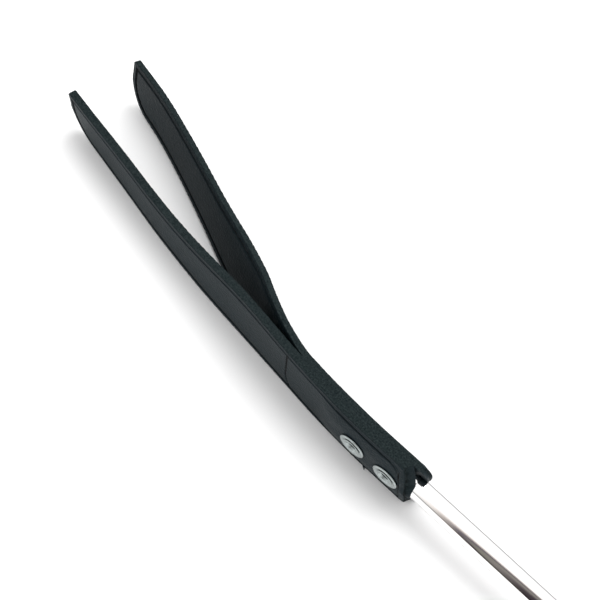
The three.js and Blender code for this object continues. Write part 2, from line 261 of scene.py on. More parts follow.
# %% Fibre group: the felted look of a cut edge
fibre, fibre_in, fibre_out = new_group(
    "cut edge fibre",
    [("Vector", "NodeSocketVector", None), ("Fibre Size", "NodeSocketFloat", 0.0004)],
    [("Height", "NodeSocketFloat"), ("Tint", "NodeSocketFloat")])
spot = fibre_in.outputs["Vector"]
per_metre = calculate(fibre, "DIVIDE", 1.0, fibre_in.outputs["Fibre Size"])
strands = noise_value(fibre, Vector=spot, Scale=per_metre, Detail=8.0, Roughness=0.75, Distortion=1.2)
patches = noise_value(fibre, Vector=spot, Scale=1800.0, Detail=3.0)
contrast = add_node(fibre, "ShaderNodeMapRange", {"Value": calculate(fibre, "ADD", strands, patches),
                                                  "From Min": 0.78, "From Max": 1.22})
fibre.links.new(strands, fibre_out.inputs["Height"])
fibre.links.new(contrast.outputs[0], fibre_out.inputs["Tint"])
print("fibre group has", len(fibre.nodes), "nodes")


# %% [markdown]
# ## Strap leather
# The mesh carries two attributes: `edge` is 1 on the raw cut edge and 0 on the faces, and `crease` is 1
# in the pressed border line. The material blends the grain face into the raw edge with the first and
# paints shade into the line with the second, a near-black that stands in for the groove's shadow.

# %% Strap leather material
LEATHER_BUMP = (0.4, 0.0003)     # strength, and depth in metres


def strap_leather():
    material, tree, shader = new_material("strap leather", specular=0.06)
    edge = add_node(tree, "ShaderNodeAttribute", attribute_name="edge").outputs["Fac"]
    crease = add_node(tree, "ShaderNodeAttribute", attribute_name="crease").outputs["Fac"]
    face_grain = placed_group(tree, grain, {"Pore Size": 0.0007})
    cut_fibre = placed_group(tree, fibre)
    face_colour = mix_colours(tree, face_grain.outputs["Cloud"], (0.008, 0.014, 0.017), (0.013, 0.022, 0.026))
    edge_colour = mix_colours(tree, cut_fibre.outputs["Tint"], (0.004, 0.008, 0.009), (0.022, 0.030, 0.031))
    leather_colour = mix_colours(tree, edge, face_colour, edge_colour)
    # Painted shade: the pressed line is darkened to near-black to stand in for the shadow in its groove.
    crease_painted_shade = mix_colours(tree, crease, leather_colour, (0.0006, 0.0006, 0.0008))
    tree.links.new(crease_painted_shade, shader.inputs["Base Color"])

    dullness = add_node(tree, "ShaderNodeMix", {"Factor": edge, 2: 0.46, 3: 0.9}, data_type="FLOAT")
    tree.links.new(dullness.outputs[0], shader.inputs["Roughness"])
    height = add_node(tree, "ShaderNodeMix", {"Factor": edge, 2: face_grain.outputs["Height"],
                                              3: cut_fibre.outputs["Height"]}, data_type="FLOAT")
    add_bump(tree, shader, height.outputs[0], *LEATHER_BUMP)
    return material


leather = strap_leather()
print("leather uses", len(leather.node_tree.nodes), "nodes")

# %% [markdown]
# ## Leather strips
# Each strip is one length of leather standing on its long edge. Its plan is a smooth line through a few
# points, its top leans outwards along the way, and the metal between the strips holds it out near the
# rod. The visible strip repeats the CAD model's rules with far more points, then adds what a knife and a
# creasing tool leave: softened corners, a wavy cut edge and a pressed line 2.3 mm inside the outline.

# %% The strips' own sizes, in millimetres
PLAN_LEAD = 14.0
AXIS_HEIGHT = -TABLE
BASE_HEIGHT = 26.8
TONGUE_HEIGHT = 20.5
NARROWING = (55.0, 115.0)
STRIP_LENGTH = 172.0
FLEX_STATION = 64.0
TONGUE_LIFT = 0.3
END_BLEND = 18.0
TIP_RISE = (12.0, 13.5)
TIP_TOP_ROUNDING = 1.6
JOINT_GAP = 0.12
CLAMPED_THICKNESS = 2.45
ROD_RADIUS = 4.0
TANG_HALF = (1.5, 4.8)          # half thickness, half height of the flattened rod end
TANG_SQUARENESS = 0.25
FLATTENING = (-5.6, -3.2)
TANG_LENGTH = 23.0
HUG = 0.9                       # share of the metal's half height that the leather follows

NEAR = dict(
    side=1, thickness=2.8, over_rod=0.9, start=-NEAR_OVERHANG,
    inner_cut=dict(foot=-6.45, rise=4.4, low=12.5, power=2.0),
    outer_cut=dict(foot=-5.3, rise=4.7, low=4.0, power=2.2),
    plan=[(-PLAN_LEAD, 0), (0, 0), (16, 0), (34, -0.85), (51, -2.5), (70, -4.2), (92, -6.4),
          (116, -10), (139, -14.5), (161, -18.7), (175, -21.1)],
    lean=[(45, 0), (80, -0.055), (105, -0.055), (140, -0.02), (165, 0.01)])
FAR = dict(
    side=-1, thickness=2.2, over_rod=0.9, start=-7.6,
    inner_cut=dict(foot=-7.6, rise=2.2, low=21.0, power=2.5),
    outer_cut=dict(foot=-7.6, rise=2.6, low=20.0, power=2.5),
    plan=[(-PLAN_LEAD, 0), (0, 0), (16, 0), (34, -0.85), (51, -2.5), (64, -4.6), (77, -8.3),
          (88.5, -12.3), (110.5, -21.2), (133, -29.8), (150, -35.3), (170, -39.8)],
    lean=[(42, 0), (54, 0.05), (66, 0.15), (78, 0.25), (92, 0.3), (114, 0.265), (140, 0.215),
          (172, 0.185)])


# %% Plan curve: a centripetal Catmull-Rom spline, measured along its length
def plan_table(points, per_span=120):
    """Distance along the plan, place and direction, as columns for interpolation."""
    p = [np.array(q, float) for q in points]
    p = [2 * p[0] - p[1]] + p + [2 * p[-1] - p[-2]]
    t = np.linspace(0, 1, per_span, endpoint=False)[:, None]
    spans = []
    for a, b, c, d in zip(p, p[1:], p[2:], p[3:]):
        ab, bc, cd = (math.sqrt(np.linalg.norm(v)) for v in (b - a, c - b, d - c))
        out_b = ((b - a) / ab - (c - a) / (ab + bc) + (c - b) / bc) * bc
        into_c = ((c - b) / bc - (d - b) / (bc + cd) + (d - c) / cd) * bc
        spans.append(b + out_b * t + (3 * (c - b) - 2 * out_b - into_c) * t**2
                     + (2 * (b - c) + out_b + into_c) * t**3)
    place = np.vstack(spans + [p[-2][None]])
    step = np.linalg.norm(np.diff(place, axis=0), axis=1)
    along = np.concatenate([[0], np.cumsum(step)])
    direction = np.gradient(place, along, axis=0)
    return along, place, direction


def smoothstep(start, end, value):
    share = np.clip((value - start) / (end - start), 0, 1)
    return share * share * (3 - 2 * share)


def lean_at(strip, station):
    """The strip's outward lean: a smooth curve through its knots, level at both ends."""
    at, value = (np.array(column, float) for column in zip(*strip["lean"]))
    slope = np.zeros(len(at))
    slope[1:-1] = (value[2:] - value[:-2]) / (at[2:] - at[:-2])
    inside = np.clip(station, at[0], at[-1])
    k = np.clip(np.searchsorted(at, inside), 1, len(at) - 1)
    span = at[k] - at[k - 1]
    t = (inside - at[k - 1]) / span
    eased = value[k - 1] + (value[k] - value[k - 1]) * t * t * (3 - 2 * t)
    return eased + span * t * (1 - t) * ((1 - t) * slope[k - 1] - t * slope[k])


def strip_points(strip, station, out, height):
    """Points of a strip from station along it, distance out from its inner plane and height."""
    along, place, direction = strip["table"]
    where = station + PLAN_LEAD
    foot = [np.interp(where, along, place[:, k]) for k in (0, 1)]
    ahead = [np.interp(where, along, direction[:, k]) for k in (0, 1)]
    lean = lean_at(strip, station)
    across = out * np.cos(lean) + height * np.sin(lean)
    foot_lift = np.maximum(0, (strip["thickness"] + JOINT_GAP) * np.sin(lean))
    foot_lift = foot_lift + TONGUE_LIFT * smoothstep(FLEX_STATION - 12, FLEX_STATION + 2, station)
    x = LEATHER + foot[0] - ahead[1] * strip["side"] * across
    y = foot[1] + ahead[0] * strip["side"] * across
    z = TABLE + height * np.cos(lean) - out * np.sin(lean) + foot_lift
    return np.stack([x, y, z], axis=-1)


for strip in (NEAR, FAR):
    strip["table"] = plan_table(strip["plan"])
    print("plan length", round(float(strip["table"][0][-1]), 1), "mm")


# %% Outline and section of a strip
def rounded_cut(distance, length, depth):
    share = np.clip(distance / length, 0, 1)
    return depth * (1 - np.sqrt(1 - share * share))


def height_range(station):
    """Lowest and highest point of the outline at a station."""
    full = BASE_HEIGHT + (TONGUE_HEIGHT - BASE_HEIGHT) * smoothstep(*NARROWING, station)
    tip_rise = rounded_cut(station - (STRIP_LENGTH - TIP_RISE[0]), *TIP_RISE)
    tip_top = rounded_cut(station - (STRIP_LENGTH - TIP_TOP_ROUNDING), TIP_TOP_ROUNDING, TIP_TOP_ROUNDING)
    return tip_rise, full - tip_top


def cut_station(cut, height):
    """Where the rod end's cut lies at a height."""
    share = np.clip((height - cut["low"]) / (BASE_HEIGHT - cut["low"]), 0, 1)
    return cut["foot"] + cut["rise"] * share ** cut["power"]


def trimmed(strip, cut, station, height):
    """Moves stations near the rod end so that the strip finishes on its cut."""
    fade = np.clip(1 - (station - strip["start"]) / END_BLEND, 0, 1)
    return station + (cut_station(cut, height) - strip["start"]) * fade**2


def faces_at(strip, station, level):
    """How far out the inner and outer faces stand, at a height above the rod's axis."""
    edge = np.where(level > 0, BASE_HEIGHT - AXIS_HEIGHT, AXIS_HEIGHT)
    reach = np.abs(level)
    round_share = 1 - smoothstep(*FLATTENING, station)
    slack = 0.3 + round_share * (1 - round_share)
    present = 1 - smoothstep(TANG_LENGTH + 1, TANG_LENGTH + 12, station)
    half_thickness = TANG_HALF[0] + (ROD_RADIUS - TANG_HALF[0]) * round_share + slack
    half_height = TANG_HALF[1] + (ROD_RADIUS - TANG_HALF[1]) * round_share + slack
    hugged = np.minimum(reach, HUG * half_height)
    closing = np.minimum(1, (edge - reach) / (edge - HUG * half_height))
    inner = present * half_thickness * np.sqrt(1 - (hugged / half_height)**2) * closing
    flat_share = np.minimum(1, (edge - reach) / (edge - TANG_HALF[1] - slack))
    over_tang = present * (TANG_HALF[0] + slack) * flat_share
    clamped = min(strip["thickness"], CLAMPED_THICKNESS)
    thickness = strip["thickness"] + (clamped - strip["thickness"]) * present * flat_share
    dome = np.sqrt(np.maximum(0, (ROD_RADIUS + slack + strip["over_rod"])**2 - reach**2))
    flat = over_tang + thickness
    return inner, flat + np.maximum(0, dome - flat) * round_share


# %% Distance from the outline, for creases and softened corners
def outline_distance(strip, station, height):
    """How far inside the flat outline each point of a face lies."""
    rod_end = np.linspace(0, BASE_HEIGHT, 70)
    s = np.concatenate([np.linspace(0, STRIP_LENGTH - 14, 330),
                        np.linspace(STRIP_LENGTH - 14, STRIP_LENGTH, 120)])
    low, high = height_range(s)
    foot_line = np.stack([np.linspace(cut_station(strip["outer_cut"], 0.0), 0, 14), np.zeros(14)], 1)
    top_start = cut_station(strip["outer_cut"], BASE_HEIGHT)
    top_line = np.stack([np.linspace(top_start, 0, 14), np.full(14, BASE_HEIGHT)], 1)
    tip = np.stack([np.full(30, s[-1]), np.linspace(low[-1], high[-1], 30)], 1)
    outline = np.vstack([np.stack([cut_station(strip["outer_cut"], rod_end), rod_end], 1), foot_line,
                         top_line, np.stack([s, low], 1), np.stack([s, high], 1), tip])
    points = np.stack([station.ravel(), height.ravel()], 1)
    nearest = np.empty(len(points))
    for k in range(0, len(points), 4000):
        gap = points[k:k + 4000, None, :] - outline[None]
        nearest[k:k + 4000] = np.sqrt((gap**2).sum(2).min(1))
    return nearest.reshape(station.shape)


# %% Build one strip
CREASE_INSET = 2.3
CREASE_HALF_WIDTHS = (0.3, 0.5)  # round the rod end and across the strip, then along its edges
CREASE_DEPTH = 0.5
CREASE_TURN = 5.5                # the border line turns this round at the rod end's top corner
CREASE_LIP = (0.35, 0.55, 0.3)   # share of the depth, distance outside the line, and width
CREASE_WANDER = 0.14
CORNER_RADIUS = 0.4
CORNER_SOFTENING = 0.8
WORN_CORNER = (0.45, 7.0)        # extra corner radius at the rod end, fading over this length
CROSS_CREASE = 48.6              # the pressed line across the strip where the two part
CROSS_BEND = (0.034, 11.0)       # the line across curves back below this height
NOWHERE = 9.0                    # a distance too far from a crease to press anything
PARTING = (42.0, 54.0)           # the strips are one glued block before this and two tongues after it


def inset_marks():
    """Distances from an edge where rows of points lie, closest together at the crease."""
    near_edge = [0.0, 0.1, 0.25, 0.45, 0.8, 1.2, 1.6]
    at_crease = [CREASE_INSET + d for d in (-0.5, -0.32, -0.2, -0.1, 0, 0.1, 0.2, 0.32, 0.5, 0.7)]
    return near_edge + at_crease + [3.4]


def strip_stations(strip):
    fine_start = np.arange(strip["start"], strip["start"] + 6.4, 0.2)
    around_cross = np.arange(CROSS_CREASE - 4.6, CROSS_CREASE + 1.2, 0.13)
    coarse = np.arange(strip["start"] + 6.4, STRIP_LENGTH - 14, 0.8)
    coarse = coarse[(coarse < CROSS_CREASE - 4.7) | (coarse > CROSS_CREASE + 1.3)]
    tip = STRIP_LENGTH - 14 * np.linspace(1, 0, 80)**1.3
    return np.unique(np.concatenate([fine_start, around_cross, coarse, tip]))


def wobble(points, size, seed):
    """Smooth pseudo-random values between about -1 and 1."""
    return np.array([noise.noise(Vector((p[0] / size + seed, p[1] / size, p[2] / size))) for p in points])


EDGE_ROUGHNESS = (0.11, 0.13)    # height of fine and coarse waves along a cut edge
EDGE_CROWN = 0.06                # how far a cut edge stands proud in its middle
RIM_SHARES = (0.03, 0.1, 0.3, 0.5, 0.7, 0.9, 0.97)
RIM_POINTS = len(RIM_SHARES)
MIDDLE_ROWS = 14
THINNEST = 0.4                   # leather is never pared thinner than this


def build_strip(name, strip, seed):
    stations = strip_stations(strip)
    low, high = height_range(stations)
    marks = np.array(inset_marks())
    room = (high - low)[:, None]
    squeeze = np.minimum(1, room / 2.02 / marks[-1])
    lower = low[:, None] + marks[None] * squeeze
    upper = high[:, None] - marks[::-1][None] * squeeze
    middle = np.linspace(0, 1, MIDDLE_ROWS + 2)[1:-1][None]
    between = lower[:, -1:] + (upper[:, :1] - lower[:, -1:]) * middle
    heights = np.hstack([lower, between, upper])
    mark = np.repeat(stations[:, None], heights.shape[1], axis=1)
    outer_station = trimmed(strip, strip["outer_cut"], mark, heights)
    inner_station = trimmed(strip, strip["inner_cut"], mark, heights)
    inside = outline_distance(strip, outer_station, heights)

    apart = smoothstep(*PARTING, mark)
    inner_face, outer_face = faces_at(strip, mark, heights - AXIS_HEIGHT)
    near_end = 1 - smoothstep(strip["start"], strip["start"] + WORN_CORNER[1], mark)
    radius = CORNER_RADIUS + WORN_CORNER[0] * near_end
    corner = np.clip(1 - inside / radius, 0, 1)
    softened = radius * CORNER_SOFTENING * (1 - np.sqrt(1 - corner**2))

    jitter = CREASE_WANDER * wobble(np.stack([mark, heights, 0 * mark], -1).reshape(-1, 3), 3.0, seed)
    from_end = np.clip(CREASE_TURN - (outer_station - cut_station(strip["outer_cut"], heights)), 0, None)
    from_top = np.clip(CREASE_TURN - (high[:, None] - heights), 0, None)
    turning = np.minimum(inside, CREASE_TURN - np.hypot(from_end, from_top))
    line = turning - CREASE_INSET + jitter.reshape(inside.shape)
    bend, bend_below = CROSS_BEND
    below = np.maximum(0, bend_below - heights)
    on_near_face = (inside > CREASE_INSET - 0.1) & (strip["side"] > 0)
    across = np.where(on_near_face, outer_station - CROSS_CREASE + bend * below**2, NOWHERE)
    narrow, wide = CREASE_HALF_WIDTHS
    half_width = narrow + (wide - narrow) * smoothstep(strip["start"] + 5, strip["start"] + 12, mark)
    nearest_line = np.minimum(np.abs(line) / half_width, np.abs(across) / narrow)
    crease = np.exp(-nearest_line**4)
    lip_height, lip_distance, lip_width = CREASE_LIP
    lip = lip_height * np.exp(-((line + lip_distance) / lip_width)**2)
    relief = CREASE_DEPTH * (crease - lip)

    outer_out = JOINT_GAP + outer_face - softened - relief
    inner_out = JOINT_GAP * apart + inner_face + (softened + relief) * apart
    outer_out = np.maximum(outer_out, inner_out + THINNEST)
    rim = np.array(RIM_SHARES)
    top_out = outer_out[:, -1:] + (inner_out[:, -1:] - outer_out[:, -1:]) * rim[None]
    low_out = inner_out[:, :1] + (outer_out[:, :1] - inner_out[:, :1]) * rim[None]
    top_station = outer_station[:, -1:] + (inner_station[:, -1:] - outer_station[:, -1:]) * rim[None]
    low_station = inner_station[:, :1] + (outer_station[:, :1] - inner_station[:, :1]) * rim[None]
    crown = EDGE_CROWN * np.sin(np.pi * rim)[None] * apart[:, :1]

    all_station = np.hstack([outer_station, top_station, inner_station[:, ::-1], low_station])
    all_out = np.hstack([outer_out, top_out, inner_out[:, ::-1], low_out])
    all_height = np.hstack([heights, high[:, None] + crown, heights[:, ::-1], low[:, None] - crown])
    points = strip_points(strip, all_station, all_out, np.maximum(all_height, 0))
    rings, count = all_station.shape
    columns = heights.shape[1]

    blank = np.zeros((rings, RIM_POINTS))
    edge_face = np.clip(1.15 - inside / 0.35, 0, 1)
    edge = np.hstack([edge_face, blank + 1, edge_face[:, ::-1] * apart[:, ::-1], blank + 1])
    crease_all = np.hstack([crease, blank, (crease * apart)[:, ::-1], blank])
    flat = points.reshape(-1, 3)
    raw = edge.ravel() > 0.3
    rough = np.zeros(len(flat))
    rough[raw] = EDGE_ROUGHNESS[0] * wobble(flat[raw], 1.1, 0) + EDGE_ROUGHNESS[1] * wobble(flat[raw], 4.0, 7)
    above_middle = (all_height > (low + high)[:, None] / 2).ravel()
    flat[:, 2] += np.where(above_middle, rough, np.abs(rough) * 0.5)

    faces = ring_faces(rings, count)
    for first in (0, (rings - 1) * count):
        for k in range(columns - 1):
            a, b = first + k, first + k + 1
            c = first + columns + RIM_POINTS + (columns - 2 - k)
            faces.append((a, b, c, c + 1))
        top_rim = [first + columns - 1 + k for k in range(RIM_POINTS + 2)]
        low_rim = [first + (2 * columns + RIM_POINTS - 1 + k) % count for k in range(RIM_POINTS + 2)]
        faces += [tuple(top_rim), tuple(low_rim)]
    piece = link_mesh(name, flat, faces)
    for label, values in (("edge", edge), ("crease", crease_all)):
        layer = piece.data.attributes.new(label, "FLOAT", "POINT")
        layer.data.foreach_set("value", values.astype(np.float32).ravel())
    piece.data.materials.append(leather)
    return piece


near_strip = build_strip("near_strip", NEAR, 3.0)
far_strip = build_strip("far_strip", FAR, 11.0)
for piece in (near_strip, far_strip):
    print(piece.name, len(piece.data.polygons), "faces")

# %% [markdown]
# ## Strips baked in place
# On the real object the leather itself is the hinge. Here each strip only has its placement baked into
# its points; it is not blended between the handle and a flap, so it doesn't bend at the crotch.


def bend_strip(piece):
    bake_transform(piece)


# %% [markdown]
# ## Cut-edge fibres
# A knife leaves leather fibres standing from the cut edge. A Geometry Nodes tree scatters thin slivers
# over the faces where the `edge` attribute is high, tilts each one at random and gives back one mesh.

# %% Node tree that scatters fibres over the cut edges
def sliver_mesh():
    """A tapering three-sided hair one millimetre long, bent over near its tip."""
    thick = 0.035
    rows = [(0.0, 0.0, 1.0), (0.18, 0.45, 0.8), (0.5, 0.85, 0.5)]
    points = []
    for lean, up, width in rows:
        for k in range(3):
            angle = 2 * math.pi * k / 3
            points.append((lean + thick * width * math.cos(angle), thick * width * math.sin(angle), up))
    points.append((0.85, 0.0, 1.0))
    faces = ring_faces(3, 3) + [(2, 1, 0), (6, 7, 9), (7, 8, 9), (8, 6, 9)]
    return link_mesh("fibre", points, faces)


def geometry_tree(name, inputs):
    tree = bpy.data.node_groups.new(name, "GeometryNodeTree")
    tree.interface.new_socket("Geometry", in_out="INPUT", socket_type="NodeSocketGeometry")
    sockets = {}
    for label, kind in inputs:
        sockets[label] = tree.interface.new_socket(label, in_out="INPUT", socket_type=kind).identifier
    tree.interface.new_socket("Geometry", in_out="OUTPUT", socket_type="NodeSocketGeometry")
    return tree, tree.nodes.new("NodeGroupInput"), tree.nodes.new("NodeGroupOutput"), sockets


def run_tree(name, base, tree, sockets, values):
    """Runs a node tree on a copy of base and returns the result as a plain mesh object."""
    source = bpy.data.objects.new(name, base.data.copy())
    bpy.context.scene.collection.objects.link(source)
    modifier = source.modifiers.new("nodes", "NODES")
    modifier.node_group = tree
    for label, value in values.items():
        modifier[sockets[label]] = value
    bpy.context.view_layer.update()
    evaluated = source.evaluated_get(bpy.context.evaluated_depsgraph_get())
    result = bpy.data.meshes.new_from_object(evaluated)
    source.modifiers.clear()
    source.data = result
    print(name, "has", sum(len(p.vertices) - 2 for p in result.polygons), "triangles")
    return source


def copies_at(tree, points, part, material, **placing):
    """Real copies of a part's mesh at points, all in one material; placing turns and scales them."""
    shape = add_node(tree, "GeometryNodeObjectInfo", {"Object": part}).outputs["Geometry"]
    copies = add_node(tree, "GeometryNodeInstanceOnPoints", {"Points": points, "Instance": shape, **placing})
    real = add_node(tree, "GeometryNodeRealizeInstances", {"Geometry": copies.outputs[0]})
    done = add_node(tree, "GeometryNodeSetMaterial", {"Geometry": real.outputs[0], "Material": material})
    return done.outputs[0]


HALF_TURN = 3.1                  # a fibre turns about this many radians either way
fuzz, fuzz_in, fuzz_out, fuzz_sockets = geometry_tree("cut edge fuzz", [
    ("Fibre", "NodeSocketObject"), ("Density", "NodeSocketFloat"), ("Length", "NodeSocketFloat"),
    ("Tilt", "NodeSocketFloat"), ("Seed", "NodeSocketInt"), ("Material", "NodeSocketMaterial")])
edge_value = add_node(fuzz, "GeometryNodeInputNamedAttribute", {"Name": "edge"}, data_type="FLOAT")
is_edge = add_node(fuzz, "FunctionNodeCompare", {0: edge_value.outputs["Attribute"], 1: 0.75},
                   data_type="FLOAT", operation="GREATER_THAN")
scatter = add_node(fuzz, "GeometryNodeDistributePointsOnFaces",
                   {"Mesh": fuzz_in.outputs["Geometry"], "Selection": is_edge.outputs["Result"],
                    "Density": fuzz_in.outputs["Density"], "Seed": fuzz_in.outputs["Seed"]})
tilt_back = calculate(fuzz, "MULTIPLY", fuzz_in.outputs["Tilt"], -1.0)
high_tilt, low_tilt = (
    add_node(fuzz, "ShaderNodeCombineXYZ", {0: tilt, 1: tilt, 2: turn_limit})
    for tilt, turn_limit in ((fuzz_in.outputs["Tilt"], HALF_TURN), (tilt_back, -HALF_TURN)))
random_tilt = add_node(fuzz, "FunctionNodeRandomValue",
                       {0: low_tilt.outputs[0], 1: high_tilt.outputs[0], "Seed": fuzz_in.outputs["Seed"]},
                       data_type="FLOAT_VECTOR")
tilted = add_node(fuzz, "FunctionNodeRotateRotation",
                  {"Rotation": scatter.outputs["Rotation"], "Rotate By": random_tilt.outputs[0]},
                  rotation_space="LOCAL")
shortest = calculate(fuzz, "MULTIPLY", fuzz_in.outputs["Length"], 0.3)
random_length = add_node(fuzz, "FunctionNodeRandomValue",
                         {2: shortest, 3: fuzz_in.outputs["Length"],
                          "Seed": fuzz_in.outputs["Seed"]}, data_type="FLOAT")
hairs = copies_at(fuzz, scatter.outputs["Points"], fuzz_in.outputs["Fibre"], fuzz_in.outputs["Material"],
                  Rotation=tilted.outputs[0], Scale=random_length.outputs[1])
fuzz.links.new(hairs, fuzz_out.inputs[0])

# %% Raw fibre material, and fibres for both strips
def raw_fibre():
    material, tree, shader = new_material("raw fibre", roughness=0.85)
    tint = placed_group(tree, fibre).outputs["Tint"]
    colour = mix_colours(tree, tint, (0.012, 0.017, 0.019), (0.045, 0.055, 0.058))
    tree.links.new(colour, shader.inputs["Base Color"])
    return material


fibre_material = raw_fibre()
sliver = sliver_mesh()
FIBRES_PER_SQUARE_MM = 2.2
FIBRE_LENGTH = 0.55
for piece, flap, seed in ((near_strip, "near_flap", 5), (far_strip, "far_flap", 8)):
    fringe = run_tree(piece.name + "_fibres", piece, fuzz, fuzz_sockets, {
        "Fibre": sliver, "Density": FIBRES_PER_SQUARE_MM / MM**2, "Length": FIBRE_LENGTH, "Tilt": 1.0,
        "Seed": seed, "Material": fibre_material})
    bend_strip(piece)
    bend_strip(fringe)
bpy.data.objects.remove(sliver)
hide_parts("near_strip_base", "near_tongue")
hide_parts("far_strip_base", "far_tongue")

# %% [markdown]
# ## A torn tag
# The knife left one small tag of leather hanging from the near strip's lower edge, between the rivets.
# It is a short flake that tapers and curls, so it is lofted from a few rings along a bent line.

# %% Build the torn tag
TAG_STATION = 12.0
TAG_REACH = (-1.6, 1.3)          # back along the strip, and out from it
TAG_HALF_WIDTH = 0.9
TAG_HALF_THICKNESS = 0.3
TAG_TAPER = 0.88                 # share of the width that is gone at the tip
TAG_ARCH = 0.5
TAG_RINGS = 12
TAG_SIDES = 10


def build_torn_tag():
    root = strip_points(NEAR, *(np.array([v]) for v in (TAG_STATION, NEAR["thickness"] - 0.2, 0.0)))[0]
    rings = []
    for share in np.linspace(0, 1, TAG_RINGS):
        narrowing = 1 - TAG_TAPER * share**0.8
        centre = (root[0] + TAG_REACH[0] * share, root[1] + TAG_REACH[1] * share,
                  root[2] + TAG_HALF_THICKNESS + 0.05 + TAG_ARCH * math.sin(math.pi * share * 0.8))
        for k in range(TAG_SIDES):
            turn = 2 * math.pi * k / TAG_SIDES
            ragged = 1 + 0.25 * math.sin(5 * turn + 9 * share)
            rings.append((centre[0] + TAG_HALF_WIDTH * narrowing * ragged * math.cos(turn), centre[1],
                          centre[2] + TAG_HALF_THICKNESS * narrowing * math.sin(turn)))
    last = (TAG_RINGS - 1) * TAG_SIDES
    caps = [tuple(range(TAG_SIDES))[::-1], tuple(range(last, last + TAG_SIDES))]
    piece = link_mesh("torn_tag", rings, ring_faces(TAG_RINGS, TAG_SIDES) + caps)
    face_outwards(piece)
    return piece


torn_tag = build_torn_tag()
torn_tag.data.materials.append(leather)
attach(torn_tag, "handle")

# %% [markdown]
# ## Metals
# The rod is mirror polished and the rivets are duller, so both use one group of handling marks, which
# varies the roughness: a little on the rod and more on the rivets.

# %% Handling marks group and metal materials
marks, marks_in, marks_out = new_group(
    "handling marks",
    [("Vector", "NodeSocketVector", None), ("Scale", "NodeSocketFloat", 300.0),
     ("Lowest", "NodeSocketFloat", 0.05), ("Highest", "NodeSocketFloat", 0.1)],
    [("Roughness", "NodeSocketFloat"), ("Height", "NodeSocketFloat")])
smears = noise_value(marks, Vector=marks_in.outputs["Vector"], Detail=5.0, Scale=marks_in.outputs["Scale"])
spread = add_node(marks, "ShaderNodeMapRange", {"Value": smears, "From Min": 0.3,
                                                "From Max": 0.7, "To Min": marks_in.outputs["Lowest"],
                                                "To Max": marks_in.outputs["Highest"]})
marks.links.new(spread.outputs[0], marks_out.inputs["Roughness"])
marks.links.new(smears, marks_out.inputs["Height"])

METAL_BUMP_DEPTH = 0.00002       # in metres


def metal(name, colour, scale, lowest, highest, bump_strength):
    material, tree, shader = new_material(name)
    handled = placed_group(tree, marks, {"Scale": scale, "Lowest": lowest, "Highest": highest})
    tree.links.new(handled.outputs["Roughness"], shader.inputs["Roughness"])
    add_bump(tree, shader, handled.outputs["Height"], bump_strength, METAL_BUMP_DEPTH)
    shader.inputs["Base Color"].default_value = (*colour, 1)
    shader.inputs["Metallic"].default_value = 1.0
    return material


polished_steel = metal("polished steel", (0.94, 0.93, 0.93), 260.0, 0.03, 0.06, 0.1)
nickel = metal("nickel", (0.40, 0.44, 0.435), 900.0, 0.30, 0.42, 0.4)
print("metals ready")

# %% [markdown]
# ## Rod
# One steel rod runs from the butt cap to the leather, where its end is hammered flat so that it can't
# turn between the strips. It is a loft of ellipses that change quickly from round to flat.

# %% Build the rod
ROD_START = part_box("rod")[0].x / MM
ROD_SEGMENTS = 96


def rod_ring(x, half_thickness, half_height, squareness=0.0):
    ring = []
    power = 1 / (1 + squareness)
    for k in range(ROD_SEGMENTS):
        angle = 2 * math.pi * k / ROD_SEGMENTS
        across, up = (math.copysign(abs(v)**power, v) for v in (math.sin(angle), -math.cos(angle)))
        ring.append((x, half_thickness * across, half_height * up))
    return ring


def build_rod():
    chamfer = ROD_RADIUS - 0.5
    rings = [rod_ring(ROD_START + 0.01, 0.05, 0.05), rod_ring(ROD_START + 0.02, chamfer, chamfer)]
    rings += [rod_ring(x, ROD_RADIUS, ROD_RADIUS)
              for x in np.linspace(ROD_START + 0.5, LEATHER + FLATTENING[0] - 0.3, 40)]
    for station in np.linspace(*FLATTENING, 16):
        flat = float(smoothstep(*FLATTENING, station))
        rings.append(rod_ring(LEATHER + station, ROD_RADIUS + (TANG_HALF[0] - ROD_RADIUS) * flat,
                              ROD_RADIUS + (TANG_HALF[1] - ROD_RADIUS) * flat, TANG_SQUARENESS * flat))
    end = LEATHER + TANG_LENGTH
    rings += [rod_ring(end - 2, *TANG_HALF, TANG_SQUARENESS),
              rod_ring(end - 0.3, TANG_HALF[0] - 0.6, TANG_HALF[1] - 1.2, TANG_SQUARENESS),
              rod_ring(end - 0.2, 0.05, 0.05)]
    points = [p for ring in rings for p in ring]
    faces = ring_faces(len(rings), ROD_SEGMENTS)
    faces.append(tuple(range(ROD_SEGMENTS)))
    faces.append(tuple(range((len(rings) - 1) * ROD_SEGMENTS, len(points)))[::-1])
    piece = link_mesh("polished_rod", points, faces)
    face_outwards(piece)
    piece.data.materials.append(polished_steel)
    return piece


def fix_to_handle(piece, slot_name, *nodes):
    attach(piece, "handle")
    if nodes:
        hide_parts(*nodes)


polished_rod = build_rod()
fix_to_handle(polished_rod, "polished_steel", "rod")

# %% [markdown]
# ## Hollow rivets
# Each rivet is a tube with a low domed head at the back. Its front end is rolled outwards over a
# washer, which leaves an open hole. Both parts are turned about the rivet's own axis.

# %% Build the rivets
HEAD_RADIUS = 4.75
SHANK_RADIUS = 1.85


